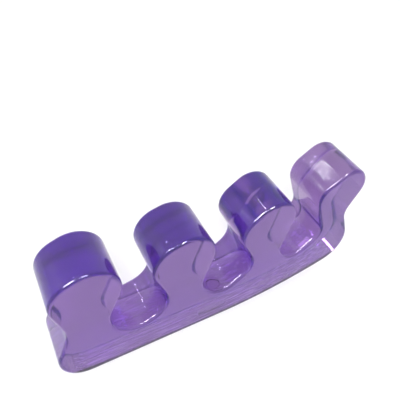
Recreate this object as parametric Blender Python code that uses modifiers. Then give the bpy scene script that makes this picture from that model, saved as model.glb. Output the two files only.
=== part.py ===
"""Toe separator: one gel moulding with four rounded posts and three toe gaps.

Metres, +Z up. The length runs along X, the foot side faces -Y, and the flat
underside rests on Z = 0 with the middle of the bounding box above the origin.
"""

import math

import bmesh
import bpy
from mathutils import Matrix

MM = 0.001

# Whole moulding
THICKNESS = 14.4 * MM
EDGE_RADIUS = 1.0 * MM

# Base: left corner, flat underside, slow rise into a straight slope, right corner
LEFT_CORNER_RADIUS = 7.5 * MM
RISE_RADIUS = 130.0 * MM
RISE_SLOPE = math.radians(15.2)
RIGHT_CORNER_RADIUS = 9.0 * MM
RIGHT_CORNER_Z = 13.5 * MM
RIGHT_CORNER_INSET = 3.5 * MM

# Posts, from the left: each head is two rounds of one radius side by side
POST_1_X = 10.5 * MM
POST_1_TOP = 37.9 * MM
POST_1_RADIUS = 7.8 * MM
POST_1_SPREAD = 1.7 * MM
POST_1_LEAN = 0.6 * MM
POST_2_PITCH = 24.5 * MM
POST_2_TOP = 36.6 * MM
POST_2_RADIUS = 7.5 * MM
POST_2_SPREAD = 1.7 * MM
POST_2_LEAN = 0.4 * MM
POST_3_PITCH = 23.7 * MM
POST_3_TOP = 37.2 * MM
POST_3_RADIUS = 6.5 * MM
POST_3_SPREAD = 2.7 * MM
POST_3_LEAN = 1.8 * MM
POST_4_PITCH = 22.1 * MM
POST_4_TOP = 39.2 * MM
POST_4_RADIUS = 5.8 * MM
POST_4_SPREAD = 3.3 * MM
POST_4_LEAN = 2.0 * MM

# Toe gaps, from the left: each bowl is two rounds of one radius side by side,
# and a straight neck run joins each of them to the head on its side
GAP_1_SHIFT = -0.55 * MM
GAP_1_RADIUS = 6.6 * MM
GAP_1_SPREAD = 1.4 * MM
GAP_1_LEFT_RUN = 6.5 * MM
GAP_1_RIGHT_RUN = 6.0 * MM
GAP_2_SHIFT = 0.05 * MM
GAP_2_RADIUS = 5.9 * MM
GAP_2_SPREAD = 2.3 * MM
GAP_2_LEFT_RUN = 7.1 * MM
GAP_2_RIGHT_RUN = 5.5 * MM
GAP_3_SHIFT = -0.15 * MM
GAP_3_RADIUS = 4.9 * MM
GAP_3_SPREAD = 2.9 * MM
GAP_3_LEFT_RUN = 8.4 * MM
GAP_3_RIGHT_RUN = 7.8 * MM

# Waists: the hollows of the two end walls, with the straight runs to the
# corner below and to the head above
LEFT_WAIST_RADIUS = 8.2 * MM
LEFT_WAIST_LOWER_RUN = 6.1 * MM
LEFT_WAIST_UPPER_RUN = 6.6 * MM
RIGHT_WAIST_RADIUS = 5.5 * MM
RIGHT_WAIST_LOWER_RUN = 5.7 * MM
RIGHT_WAIST_UPPER_RUN = 5.4 * MM

# Gate mark: a shallow oval recess with upright walls in the middle of the underside
GATE_X = 43.6 * MM
GATE_LENGTH = 9.0 * MM
GATE_WIDTH = 3.4 * MM
GATE_DEPTH = 0.4 * MM

# Fineness of the round stretches
ARC_STEP = math.radians(7.0)
ARC_LENGTH = 2.5 * MM
EDGE_STEPS = 5
EDGE_LEAST_ANGLE = math.radians(40.0)
GATE_STEPS = 32
CAP_LEAST_NORMAL = 0.99
WELD = 0.00001


def clear_scene():
    for item in list(bpy.data.objects):
        bpy.data.objects.remove(item, do_unlink=True)


def new_collection(name):
    group = bpy.data.collections.new(name)
    bpy.context.scene.collection.children.link(group)
    return group


def head(x, top, radius, spread, lean):
    """The two rounds of a post's head, right one first, the right one higher."""
    upper = top - radius
    right = (x + spread / 2, upper, radius)
    left = (x - spread / 2, upper - lean, radius)
    return [right, left]


def below(rounded, x, radius, run):
    """A hollow round under a head, with a straight run between their arcs."""
    reach = math.hypot(rounded[2] + radius, run)
    drop = math.sqrt(reach**2 - (x - rounded[0]) ** 2)
    return (x, rounded[1] - drop, -radius)


def bowl(right_head, left_head, shift, radius, spread, left_run, right_run):
    """The two rounds of the toe gap between two heads, right one first."""
    middle = (right_head[0][0] + right_head[1][0] + left_head[0][0] + left_head[1][0]) / 4 + shift
    right = below(right_head[1], middle + spread / 2, radius, right_run)
    left = below(left_head[0], middle - spread / 2, radius, left_run)
    return [right, left]


def waist(low, high, radius, lower_run, upper_run, side):
    """The hollow round beside an end wall: side is 1 on the right, -1 on the left."""
    from_low = math.hypot(low[2] + radius, lower_run)
    from_high = math.hypot(high[2] + radius, upper_run)
    run = high[0] - low[0]
    rise = high[1] - low[1]
    span = math.hypot(run, rise)
    along = (span**2 + from_low**2 - from_high**2) / (2 * span)
    out = math.sqrt(from_low**2 - along**2)
    x = low[0] + (run * along + side * rise * out) / span
    z = low[1] + (rise * along - side * run * out) / span
    return (x, z, -radius)


def rise_round(corner):
    """The round between the flat underside and the slope up to the right corner."""
    height = RISE_RADIUS - corner[1]
    reach = (RISE_RADIUS - corner[2] - math.cos(RISE_SLOPE) * height) / math.sin(RISE_SLOPE)
    return (corner[0] - reach, RISE_RADIUS, RISE_RADIUS)


def outline_rounds():
    """Rounds that the outline wraps, anticlockwise; a hollow one is negative."""
    post_2_x = POST_1_X + POST_2_PITCH
    post_3_x = post_2_x + POST_3_PITCH
    post_4_x = post_3_x + POST_4_PITCH
    head_1 = head(POST_1_X, POST_1_TOP, POST_1_RADIUS, POST_1_SPREAD, POST_1_LEAN)
    head_2 = head(post_2_x, POST_2_TOP, POST_2_RADIUS, POST_2_SPREAD, POST_2_LEAN)
    head_3 = head(post_3_x, POST_3_TOP, POST_3_RADIUS, POST_3_SPREAD, POST_3_LEAN)
    head_4 = head(post_4_x, POST_4_TOP, POST_4_RADIUS, POST_4_SPREAD, POST_4_LEAN)
    left_corner = (LEFT_CORNER_RADIUS, LEFT_CORNER_RADIUS, LEFT_CORNER_RADIUS)
    right_corner = (post_4_x - RIGHT_CORNER_INSET, RIGHT_CORNER_Z, RIGHT_CORNER_RADIUS)
    right_waist = waist(
        right_corner,
        head_4[0],
        RIGHT_WAIST_RADIUS,
        RIGHT_WAIST_LOWER_RUN,
        RIGHT_WAIST_UPPER_RUN,
        1,
    )
    left_waist = waist(
        left_corner,
        head_1[1],
        LEFT_WAIST_RADIUS,
        LEFT_WAIST_LOWER_RUN,
        LEFT_WAIST_UPPER_RUN,
        -1,
    )
    gap_3 = bowl(
        head_4,
        head_3,
        GAP_3_SHIFT,
        GAP_3_RADIUS,
        GAP_3_SPREAD,
        GAP_3_LEFT_RUN,
        GAP_3_RIGHT_RUN,
    )
    gap_2 = bowl(
        head_3,
        head_2,
        GAP_2_SHIFT,
        GAP_2_RADIUS,
        GAP_2_SPREAD,
        GAP_2_LEFT_RUN,
        GAP_2_RIGHT_RUN,
    )
    gap_1 = bowl(
        head_2,
        head_1,
        GAP_1_SHIFT,
        GAP_1_RADIUS,
        GAP_1_SPREAD,
        GAP_1_LEFT_RUN,
        GAP_1_RIGHT_RUN,
    )
    rounds = [left_corner, rise_round(right_corner), right_corner, right_waist]
    rounds += head_4 + gap_3 + head_3 + gap_2 + head_2 + gap_1 + head_1
    rounds.append(left_waist)
    return rounds


def tangent_angle(first, second):
    """Direction of the outward normal of the line that touches both rounds."""
    run = second[0] - first[0]
    rise = second[1] - first[1]
    heading = math.atan2(rise, run)
    swing = math.acos((first[2] - second[2]) / math.hypot(run, rise))
    return heading - swing


def outline_points():
    """Arcs on each round, joined by the lines that touch two rounds."""
    rounds = outline_rounds()
    count = len(rounds)
    normals = []
    for index, item in enumerate(rounds):
        normals.append(tangent_angle(item, rounds[(index + 1) % count]))
    points = []
    for index, (x, z, radius) in enumerate(rounds):
        start = normals[index - 1]
        turn = (normals[index] - start) % (2 * math.pi)
        if radius < 0:
            turn -= 2 * math.pi
        by_angle = abs(turn) / ARC_STEP
        by_length = abs(turn * radius) / ARC_LENGTH
        steps = max(1, math.ceil(by_angle), math.ceil(by_length))
        for step in range(steps + 1):
            angle = start + turn * step / steps
            points.append((x + radius * math.cos(angle), z + radius * math.sin(angle)))
    return points


def gel_material():
    material = bpy.data.materials.new("violet_gel")
    material.use_nodes = True
    shader = material.node_tree.nodes["Principled BSDF"]
    shader.inputs["Base Color"].default_value = (0.36, 0.22, 0.58, 1.0)
    shader.inputs["Roughness"].default_value = 0.12
    shader.inputs["IOR"].default_value = 1.45
    shader.inputs["Transmission Weight"].default_value = 0.6
    return material


def curve_to_mesh(name, points, depth, group, turn):
    """A filled flat outline of the given depth, turned into a closed mesh."""
    curve = bpy.data.curves.new(name + "_outline", "CURVE")
    curve.dimensions = "2D"
    curve.fill_mode = "BOTH"
    curve.extrude = depth / 2
    spline = curve.splines.new("POLY")
    spline.points.add(len(points) - 1)
    for point, (x, z) in zip(spline.points, points):
        point.co = (x, z, 0.0, 1.0)
    spline.use_cyclic_u = True
    flat = bpy.data.objects.new(name + "_outline", curve)
    group.objects.link(flat)
    flat.matrix_world = turn
    bpy.context.view_layer.update()
    graph = bpy.context.evaluated_depsgraph_get()
    mesh = bpy.data.meshes.new_from_object(flat.evaluated_get(graph))
    mesh.name = name
    shape = bmesh.new()
    shape.from_mesh(mesh)
    bmesh.ops.remove_doubles(shape, verts=shape.verts, dist=WELD)
    inner = [edge for edge in shape.edges if on_one_cap(edge)]
    bmesh.ops.dissolve_edges(shape, edges=inner, use_verts=False)
    bmesh.ops.recalc_face_normals(shape, faces=shape.faces)
    shape.to_mesh(mesh)
    shape.free()
    solid = bpy.data.objects.new(name, mesh)
    group.objects.link(solid)
    solid.matrix_world = flat.matrix_world.copy()
    bpy.data.objects.remove(flat, do_unlink=True)
    return solid


def on_one_cap(edge):
    """True for an edge between two triangles of the same flat cap."""
    if len(edge.link_faces) != 2:
        return False
    return all(abs(face.normal.z) > CAP_LEAST_NORMAL for face in edge.link_faces)


def gate_cutter(group, middle):
    """A low oval drum that sinks the recess into the underside."""
    mesh = bpy.data.meshes.new("gate_cut")
    shape = bmesh.new()
    bmesh.ops.create_cone(
        shape,
        cap_ends=True,
        segments=GATE_STEPS,
        radius1=1.0,
        radius2=1.0,
        depth=2.0,
    )
    size = Matrix.Diagonal((GATE_LENGTH / 2, GATE_WIDTH / 2, GATE_DEPTH, 1.0))
    bmesh.ops.transform(shape, matrix=size, verts=shape.verts)
    shape.to_mesh(mesh)
    shape.free()
    cutter = bpy.data.objects.new("gate_cut", mesh)
    group.objects.link(cutter)
    cutter.location = (GATE_X - middle, 0.0, 0.0)
    cutter.hide_render = True
    cutter.display_type = "WIRE"
    return cutter


def build():
    clear_scene()
    group = new_collection("toe_separator")
    cutters = new_collection("cutters")

    points = outline_points()
    lengths = [x for x, _ in points]
    middle = (min(lengths) + max(lengths)) / 2
    points = [(x - middle, z) for x, z in points]

    upright = Matrix.Rotation(math.radians(90), 4, "X")
    body = curve_to_mesh("gel_body", points, THICKNESS, group, upright)
    body.data.materials.append(gel_material())

    rounding = body.modifiers.new("edge_rounding", "BEVEL")
    rounding.limit_method = "ANGLE"
    rounding.angle_limit = EDGE_LEAST_ANGLE
    rounding.width = EDGE_RADIUS
    rounding.segments = EDGE_STEPS

    cut = body.modifiers.new("gate_mark", "BOOLEAN")
    cut.operation = "DIFFERENCE"
    cut.solver = "EXACT"
    cut.object = gate_cutter(cutters, middle)

    for face in body.data.polygons:
        face.use_smooth = True
    bpy.context.view_layer.update()
    return body


build()
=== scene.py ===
import math

import bpy
from mathutils import Matrix, Vector


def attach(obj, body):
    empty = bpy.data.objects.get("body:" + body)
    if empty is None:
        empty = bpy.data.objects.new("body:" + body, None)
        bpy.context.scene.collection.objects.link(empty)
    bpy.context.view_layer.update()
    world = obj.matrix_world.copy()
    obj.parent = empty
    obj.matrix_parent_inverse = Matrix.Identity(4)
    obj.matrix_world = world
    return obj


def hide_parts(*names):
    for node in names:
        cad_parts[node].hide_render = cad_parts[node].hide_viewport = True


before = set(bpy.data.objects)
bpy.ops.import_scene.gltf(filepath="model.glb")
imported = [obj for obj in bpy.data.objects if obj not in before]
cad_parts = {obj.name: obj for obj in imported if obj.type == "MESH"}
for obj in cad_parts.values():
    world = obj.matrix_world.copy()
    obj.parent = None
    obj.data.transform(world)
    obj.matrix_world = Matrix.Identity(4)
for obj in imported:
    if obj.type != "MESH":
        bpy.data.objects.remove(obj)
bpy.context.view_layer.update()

MM = 0.001

# Camera: fitted to the outlines of the object in the photograph's frame
PHOTO_SIDE = 400
FOCAL_PX = 495.4
MIDDLE_PX = (202.4, 191.3)
SENSOR = 36.0
CAMERA_PLACE = (-38.28 * MM, -74.57 * MM, 123.48 * MM)
CAMERA_HEADING = math.radians(26.406)
CAMERA_TILT = math.radians(43.889)
CAMERA_ROLL = math.radians(-0.15)
CLIP_START = 10.0 * MM
CLIP_END = 10000.0 * MM

# Numbers of a Mix node's colour inputs and its colour output
COLOUR_A = 6
COLOUR_B = 7
MIXED_COLOUR = 2

# Gel moulding: the solid's mesh, and the long rounds in which its underside climbs
MERGE_DISTANCE = 0.002 * MM
FLAT_WITHIN = math.radians(0.5)
RIGHT_CLIMB_X = 0.6 * MM
RIGHT_CLIMB_RADIUS = 116.0 * MM
LEFT_CLIMB_X = -25.0 * MM
LEFT_CLIMB_RADIUS = 120.0 * MM

# Gel, with the strength of its dye for each metre that light travels in it
GEL_CLARITY = 0.985
GEL_IOR = 1.42
DYE_DENSITY = 62.0

# Skin of the gel. Real mould streaks are finer than 0.9 mm, and are drawn this
# coarse so that they show.
RIPPLE_LENGTH = 7.0 * MM
RIPPLE_HEIGHT = 0.10 * MM
STREAK_LENGTH = 0.9 * MM
STREAK_STRETCH = (0.5, 1.0, 1.0)
STREAK_HEIGHT = 0.03 * MM
WET_STREAK_HEIGHT = 0.04 * MM

# Painted shade: a contact shadow along the front lower edge, and shade on the wall of the gate
# mark
SHADE_LINE_TOP = 1.95 * MM
SHADE_LINE_FULL = 1.6 * MM
SHADE_LINE_BACK_Y = -6.6 * MM
SHADE_LINE_FRONT_Y = -6.9 * MM
GATE_X = -0.5 * MM
GATE_REACH_X = 4.9 * MM
GATE_REACH_Y = 2.2 * MM
GATE_WALL_HEIGHT = 0.2 * MM
GATE_WALL_REACH = 0.16 * MM

# Scuffs on the underside. Real ones are finer than 0.8 mm, and are drawn this
# coarse so that they show.
SCUFF_WIDTH = 0.8 * MM
SCUFF_STRETCH = (0.06, 1.0, 1.0)
SCUFF_TOP = 0.35 * MM
SCUFF_FULL = 0.1 * MM
SCUFF_START = 0.40
SCUFF_END = 0.62
SCUFF_MOST = 0.5
SCUFF_SCATTER = 0.9

# Studio: directions go from the moulding to the lamp, and powers are in watts
TABLE_SIDE = 4000.0 * MM
TABLE_DROP = 0.05 * MM
TABLE_LIFT = 0.5
ROOM_LIGHT = 1.0
LAMP_DISTANCE = 500.0 * MM
KEY_DIRECTION = (-0.24, -0.51, 0.83)
KEY_SIZE = (60.0 * MM, 60.0 * MM)
KEY_POWER = 0.9
CORNER_DIRECTION = (-0.68, 0.45, 0.57)
CORNER_SIZE = (60.0 * MM, 60.0 * MM)
CORNER_POWER = 2.4
GLINT_DISTANCE = 3000.0 * MM
LEFT_GLINT_DIRECTION = (-0.53, -0.20, 0.82)
LEFT_GLINT_SIZE = (900.0 * MM, 900.0 * MM)
LEFT_GLINT_POWER = 150.0
FRONT_GLINT_DIRECTION = (0.06, -0.58, 0.81)
FRONT_GLINT_SIZE = (850.0 * MM, 850.0 * MM)
FRONT_GLINT_POWER = 130.0
BACK_GLINT_DIRECTION = (-0.32, 0.545, 0.775)
BACK_GLINT_SIZE = (260.0 * MM, 24.0 * MM)
BACK_GLINT_POWER = 1.5
BACK_GLINT_ROLL = math.radians(-53.0)


def linear(colour):
    """The four linear values that a shader takes, from an sRGB hex colour."""
    parts = [int(colour[i : i + 2], 16) / 255 for i in (1, 3, 5)]
    return [p / 12.92 if p <= 0.04045 else ((p + 0.055) / 1.055) ** 2.4 for p in parts] + [1.0]


def node(tree, kind, settings=None, links=None):
    """Adds a node: settings name its attributes or inputs, links feed its inputs.

    Inputs of a Math or Mix node share a name, so they go by number.
    """
    made = tree.nodes.new(kind)
    for name, value in (settings or {}).items():
        if isinstance(name, int) or name in made.inputs:
            made.inputs[name].default_value = value
        else:
            setattr(made, name, value)
    for name, output in (links or {}).items():
        tree.links.new(output, made.inputs[name])
    return made


def empty_tree(owner):
    owner.use_nodes = True
    owner.node_tree.nodes.clear()
    return owner.node_tree


def add_camera():
    lens = bpy.data.cameras.new("photo_camera")
    lens.sensor_width = SENSOR
    lens.lens = FOCAL_PX / PHOTO_SIDE * SENSOR
    lens.shift_x = (PHOTO_SIDE / 2 - MIDDLE_PX[0]) / PHOTO_SIDE
    lens.shift_y = (MIDDLE_PX[1] - PHOTO_SIDE / 2) / PHOTO_SIDE
    lens.clip_start = CLIP_START
    lens.clip_end = CLIP_END
    camera = bpy.data.objects.new("photo_camera", lens)
    bpy.context.scene.collection.objects.link(camera)
    forward = Vector(
        (
            math.sin(CAMERA_HEADING) * math.cos(CAMERA_TILT),
            math.cos(CAMERA_HEADING) * math.cos(CAMERA_TILT),
            -math.sin(CAMERA_TILT),
        )
    )
    turn = forward.to_track_quat("-Z", "Y").to_matrix().to_4x4()
    roll = Matrix.Rotation(CAMERA_ROLL, 4, "Z")
    camera.matrix_world = Matrix.Translation(CAMERA_PLACE) @ turn @ roll
    bpy.context.scene.camera = camera


def climb(tree, along, start, side, radius):
    """Height of a long round that leaves the table at start and climbs to one side."""
    past = node(
        tree,
        "ShaderNodeMath",
        {"operation": "MULTIPLY_ADD", 1: side, 2: -side * start},
        {0: along},
    )
    run = node(tree, "ShaderNodeMath", {"operation": "MAXIMUM", 1: 0.0}, {0: past.outputs[0]})
    square = node(
        tree,
        "ShaderNodeMath",
        {"operation": "MULTIPLY"},
        {0: run.outputs[0], 1: run.outputs[0]},
    )
    return node(
        tree,
        "ShaderNodeMath",
        {"operation": "DIVIDE", 1: 2 * radius},
        {0: square.outputs[0]},
    ).outputs[0]


def moulded_gel():
    """Thermoplastic elastomer gel with violet dye, injected into a polished mould.

    It is clear, soft and wet looking: thin parts are pale lilac, long light paths
    turn deep violet, and slow ripples of its skin bend what is seen through it.
    Fine streaks break up the sharp highlights of the wet skin. Painted shade draws a
    thin dark line along the front lower edge, as a contact shadow, and darkens the wall
    of the gate mark; scuffs on the underside show as pale streaks through the front face.
    """
    material = bpy.data.materials.new("moulded_violet_gel")
    tree = empty_tree(material)
    place = node(tree, "ShaderNodeTexCoord").outputs["Object"]

    # Slow ripples, and fine mould streaks along the moulding, deeper in the wet skin
    ripples = node(
        tree,
        "ShaderNodeTexNoise",
        {"Scale": 1 / RIPPLE_LENGTH, "Detail": 2.0, "Roughness": 0.4},
        {"Vector": place},
    )
    along = node(tree, "ShaderNodeMapping", {"Scale": STREAK_STRETCH}, {"Vector": place})
    streaks = node(
        tree,
        "ShaderNodeTexNoise",
        {"Scale": 1 / STREAK_LENGTH, "Detail": 2.0, "Roughness": 0.5},
        {"Vector": along.outputs["Vector"]},
    )
    fine = node(
        tree,
        "ShaderNodeBump",
        {"Strength": 0.5, "Distance": STREAK_HEIGHT},
        {"Height": streaks.outputs["Fac"]},
    )
    skin = node(
        tree,
        "ShaderNodeBump",
        {"Strength": 0.6, "Distance": RIPPLE_HEIGHT},
        {"Height": ripples.outputs["Fac"], "Normal": fine.outputs["Normal"]},
    )
    wet = node(
        tree,
        "ShaderNodeBump",
        {"Strength": 1.0, "Distance": WET_STREAK_HEIGHT},
        {"Height": streaks.outputs["Fac"], "Normal": skin.outputs["Normal"]},
    )

    # Painted contact shadow along the front lower edge. Its height is measured from the
    # underside, which climbs in a long round towards each end.
    axes = node(tree, "ShaderNodeSeparateXYZ", None, {0: place})
    right = climb(tree, axes.outputs["X"], RIGHT_CLIMB_X, 1.0, RIGHT_CLIMB_RADIUS)
    left = climb(tree, axes.outputs["X"], LEFT_CLIMB_X, -1.0, LEFT_CLIMB_RADIUS)
    ends = node(tree, "ShaderNodeMath", {"operation": "ADD"}, {0: right, 1: left})
    height = node(
        tree,
        "ShaderNodeMath",
        {"operation": "SUBTRACT"},
        {0: axes.outputs["Z"], 1: ends.outputs[0]},
    )
    low = node(
        tree,
        "ShaderNodeMapRange",
        {"interpolation_type": "SMOOTHSTEP", "From Min": SHADE_LINE_TOP, "From Max": SHADE_LINE_FULL},
        {"Value": height.outputs[0]},
    )
    front = node(
        tree,
        "ShaderNodeMapRange",
        {"interpolation_type": "SMOOTHSTEP", "From Min": SHADE_LINE_BACK_Y, "From Max": SHADE_LINE_FRONT_Y},
        {"Value": axes.outputs["Y"]},
    )
    edge_shade = node(
        tree,
        "ShaderNodeMath",
        {"operation": "MULTIPLY"},
        {0: low.outputs[0], 1: front.outputs[0]},
    )

    # The upright wall of the gate mark, darkened with painted shade too
    on_wall = node(
        tree,
        "ShaderNodeMath",
        {"operation": "COMPARE", 1: GATE_WALL_HEIGHT, 2: GATE_WALL_REACH},
        {0: height.outputs[0]},
    )
    in_length = node(
        tree,
        "ShaderNodeMath",
        {"operation": "COMPARE", 1: GATE_X, 2: GATE_REACH_X},
        {0: axes.outputs["X"]},
    )
    in_width = node(
        tree,
        "ShaderNodeMath",
        {"operation": "COMPARE", 1: 0.0, 2: GATE_REACH_Y},
        {0: axes.outputs["Y"]},
    )
    in_gate = node(
        tree,
        "ShaderNodeMath",
        {"operation": "MULTIPLY"},
        {0: in_length.outputs[0], 1: in_width.outputs[0]},
    )
    gate_wall_shade = node(
        tree,
        "ShaderNodeMath",
        {"operation": "MULTIPLY"},
        {0: on_wall.outputs[0], 1: in_gate.outputs[0]},
    )
    # The painted contact shadow and the painted shade on the gate wall, together
    painted_shade = node(
        tree,
        "ShaderNodeMath",
        {"operation": "MAXIMUM"},
        {0: edge_shade.outputs[0], 1: gate_wall_shade.outputs[0]},
    )

    # Pale scuffs on the underside, long streaks along the moulding that scatter light
    stretch = node(tree, "ShaderNodeMapping", {"Scale": SCUFF_STRETCH}, {"Vector": place})
    scuffs = node(
        tree,
        "ShaderNodeTexNoise",
        {"Scale": 1 / SCUFF_WIDTH, "Detail": 3.0, "Roughness": 0.6},
        {"Vector": stretch.outputs["Vector"]},
    )
    under = node(
        tree,
        "ShaderNodeMapRange",
        {"From Min": SCUFF_TOP, "From Max": SCUFF_FULL},
        {"Value": height.outputs[0]},
    )
    amount = node(
        tree,
        "ShaderNodeMapRange",
        {"From Min": SCUFF_START, "From Max": SCUFF_END, "To Max": SCUFF_MOST},
        {"Value": scuffs.outputs["Fac"]},
    )
    scuffed = node(
        tree,
        "ShaderNodeMath",
        {"operation": "MULTIPLY"},
        {0: under.outputs[0], 1: amount.outputs[0]},
    )
    clear = node(
        tree,
        "ShaderNodeMath",
        {"operation": "MULTIPLY_ADD", 1: -SCUFF_SCATTER, 2: GEL_CLARITY},
        {0: scuffed.outputs[0]},
    )

    # The gel's own tint, paler on the scuffs, and dark where shade is painted
    pale = node(
        tree,
        "ShaderNodeMix",
        {"data_type": "RGBA", COLOUR_A: linear("#ae9ab1"), COLOUR_B: linear("#ffffff")},
        {0: scuffed.outputs[0]},
    )
    # Near-black colour of the painted shade
    tint = node(
        tree,
        "ShaderNodeMix",
        {"data_type": "RGBA", COLOUR_B: linear("#1c1a20")},
        {0: painted_shade.outputs[0], COLOUR_A: pale.outputs[MIXED_COLOUR]},
    )
    gel = node(
        tree,
        "ShaderNodeBsdfPrincipled",
        {
            "Roughness": 0.10,
            "IOR": GEL_IOR,
            "Coat Weight": 0.25,
            "Coat Roughness": 0.02,
            "Coat IOR": GEL_IOR,
        },
        {
            "Base Color": tint.outputs[MIXED_COLOUR],
            "Transmission Weight": clear.outputs[0],
            "Normal": skin.outputs["Normal"],
            "Coat Normal": wet.outputs["Normal"],
        },
    )
    dye = node(
        tree,
        "ShaderNodeVolumeAbsorption",
        {"Color": linear("#b05ef1"), "Density": DYE_DENSITY},
    )
    node(
        tree,
        "ShaderNodeOutputMaterial",
        None,
        {"Surface": gel.outputs["BSDF"], "Volume": dye.outputs["Volume"]},
    )
    return material


def add_gel_moulding():
    """The moulding from the solid's own mesh, merged, smooth and even."""
    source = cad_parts["gel_body"]
    mesh = source.data.copy()
    mesh.name = "gel_moulding"
    mesh.transform(source.matrix_world)
    moulding = bpy.data.objects.new("gel_moulding", mesh)
    bpy.context.scene.collection.objects.link(moulding)
    bpy.ops.object.select_all(action="DESELECT")
    moulding.select_set(True)
    bpy.context.view_layer.objects.active = moulding
    bpy.ops.object.mode_set(mode="EDIT")
    bpy.ops.mesh.select_all(action="SELECT")
    bpy.ops.mesh.remove_doubles(threshold=MERGE_DISTANCE)
    bpy.ops.mesh.dissolve_limited(angle_limit=FLAT_WITHIN)
    bpy.ops.mesh.normals_make_consistent(inside=False)
    bpy.ops.object.mode_set(mode="OBJECT")
    bpy.ops.object.shade_smooth()
    normals = moulding.modifiers.new("even_normals", "WEIGHTED_NORMAL")
    normals.keep_sharp = False
    normals.weight = 100
    bpy.ops.object.modifier_apply(modifier=normals.name)
    mesh.materials.clear()
    mesh.materials.append(moulded_gel())
    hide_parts("gel_body")
    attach(moulding, "root")


def white_table():
    """Matt laminate in a light grey, lifted to white for the rays that see it.

    The eye gets a plain white ground, and the gel keeps the light that comes up
    through it from a real table.
    """
    material = bpy.data.materials.new("matt_white_laminate")
    tree = empty_tree(material)
    path = node(tree, "ShaderNodeLightPath")
    matt = node(tree, "ShaderNodeBsdfDiffuse", {"Color": linear("#bcbcbc")})
    lift = node(
        tree,
        "ShaderNodeEmission",
        {"Color": linear("#ffffff"), "Strength": TABLE_LIFT},
    )
    dark = node(tree, "ShaderNodeEmission", {"Strength": 0.0})
    direct = node(
        tree,
        "ShaderNodeMath",
        {"operation": "MAXIMUM"},
        {0: path.outputs["Is Camera Ray"], 1: path.outputs["Is Glossy Ray"]},
    )
    seen = node(
        tree,
        "ShaderNodeMath",
        {"operation": "MAXIMUM"},
        {0: direct.outputs[0], 1: path.outputs["Is Transmission Ray"]},
    )
    glow = node(
        tree,
        "ShaderNodeMixShader",
        None,
        {0: seen.outputs[0], 1: dark.outputs[0], 2: lift.outputs[0]},
    )
    both = node(tree, "ShaderNodeAddShader", None, {0: matt.outputs[0], 1: glow.outputs[0]})
    node(tree, "ShaderNodeOutputMaterial", None, {"Surface": both.outputs[0]})
    return material


def add_table():
    bpy.ops.object.select_all(action="DESELECT")
    bpy.ops.mesh.primitive_plane_add(size=TABLE_SIDE, location=(0.0, 0.0, -TABLE_DROP))
    table = bpy.context.active_object
    table.name = "table"
    table.data.materials.append(white_table())


def add_lamp(name, direction, distance, size, power, roll=0.0):
    """A lamp in the given direction from the moulding, facing it."""
    light = bpy.data.lights.new(name, "AREA")
    light.shape = "RECTANGLE"
    light.size, light.size_y = size
    light.energy = power
    lamp = bpy.data.objects.new(name, light)
    bpy.context.scene.collection.objects.link(lamp)
    place = Vector(direction).normalized() * distance
    turn = (-place).to_track_quat("-Z", "Y").to_matrix().to_4x4()
    lamp.matrix_world = Matrix.Translation(place) @ turn @ Matrix.Rotation(roll, 4, "Z")
    return lamp


def add_glint(name, direction, size, power, roll=0.0):
    """A lamp that shows only as a bright spot in gloss and adds no light."""
    glint = add_lamp(name, direction, GLINT_DISTANCE, size, power, roll)
    glint.visible_diffuse = False
    glint.visible_transmission = False
    glint.visible_camera = False


def add_light():
    world = bpy.data.worlds.new("studio")
    bpy.context.scene.world = world
    tree = empty_tree(world)
    room = node(
        tree,
        "ShaderNodeBackground",
        {"Color": linear("#ffffff"), "Strength": ROOM_LIGHT},
    )
    node(tree, "ShaderNodeOutputWorld", None, {"Surface": room.outputs[0]})
    add_lamp("key_lamp", KEY_DIRECTION, LAMP_DISTANCE, KEY_SIZE, KEY_POWER)
    add_glint("left_glint", LEFT_GLINT_DIRECTION, LEFT_GLINT_SIZE, LEFT_GLINT_POWER)
    add_glint("front_glint", FRONT_GLINT_DIRECTION, FRONT_GLINT_SIZE, FRONT_GLINT_POWER)
    add_glint(
        "back_glint",
        BACK_GLINT_DIRECTION,
        BACK_GLINT_SIZE,
        BACK_GLINT_POWER,
        BACK_GLINT_ROLL,
    )
    # This lamp shows only through the gel, as the bright spot at its right end
    corner = add_lamp(
        "corner_lamp",
        CORNER_DIRECTION,
        LAMP_DISTANCE,
        CORNER_SIZE,
        CORNER_POWER,
    )
    corner.visible_diffuse = False
    corner.visible_glossy = False
    corner.visible_camera = False


add_camera()
add_gel_moulding()
add_table()
add_light()

scene = bpy.context.scene
scene.view_settings.view_transform = "Standard"

# Enough bounces for light to cross the gel and turn back on its inner faces
scene.cycles.max_bounces = 24
scene.cycles.transmission_bounces = 20
scene.cycles.glossy_bounces = 8
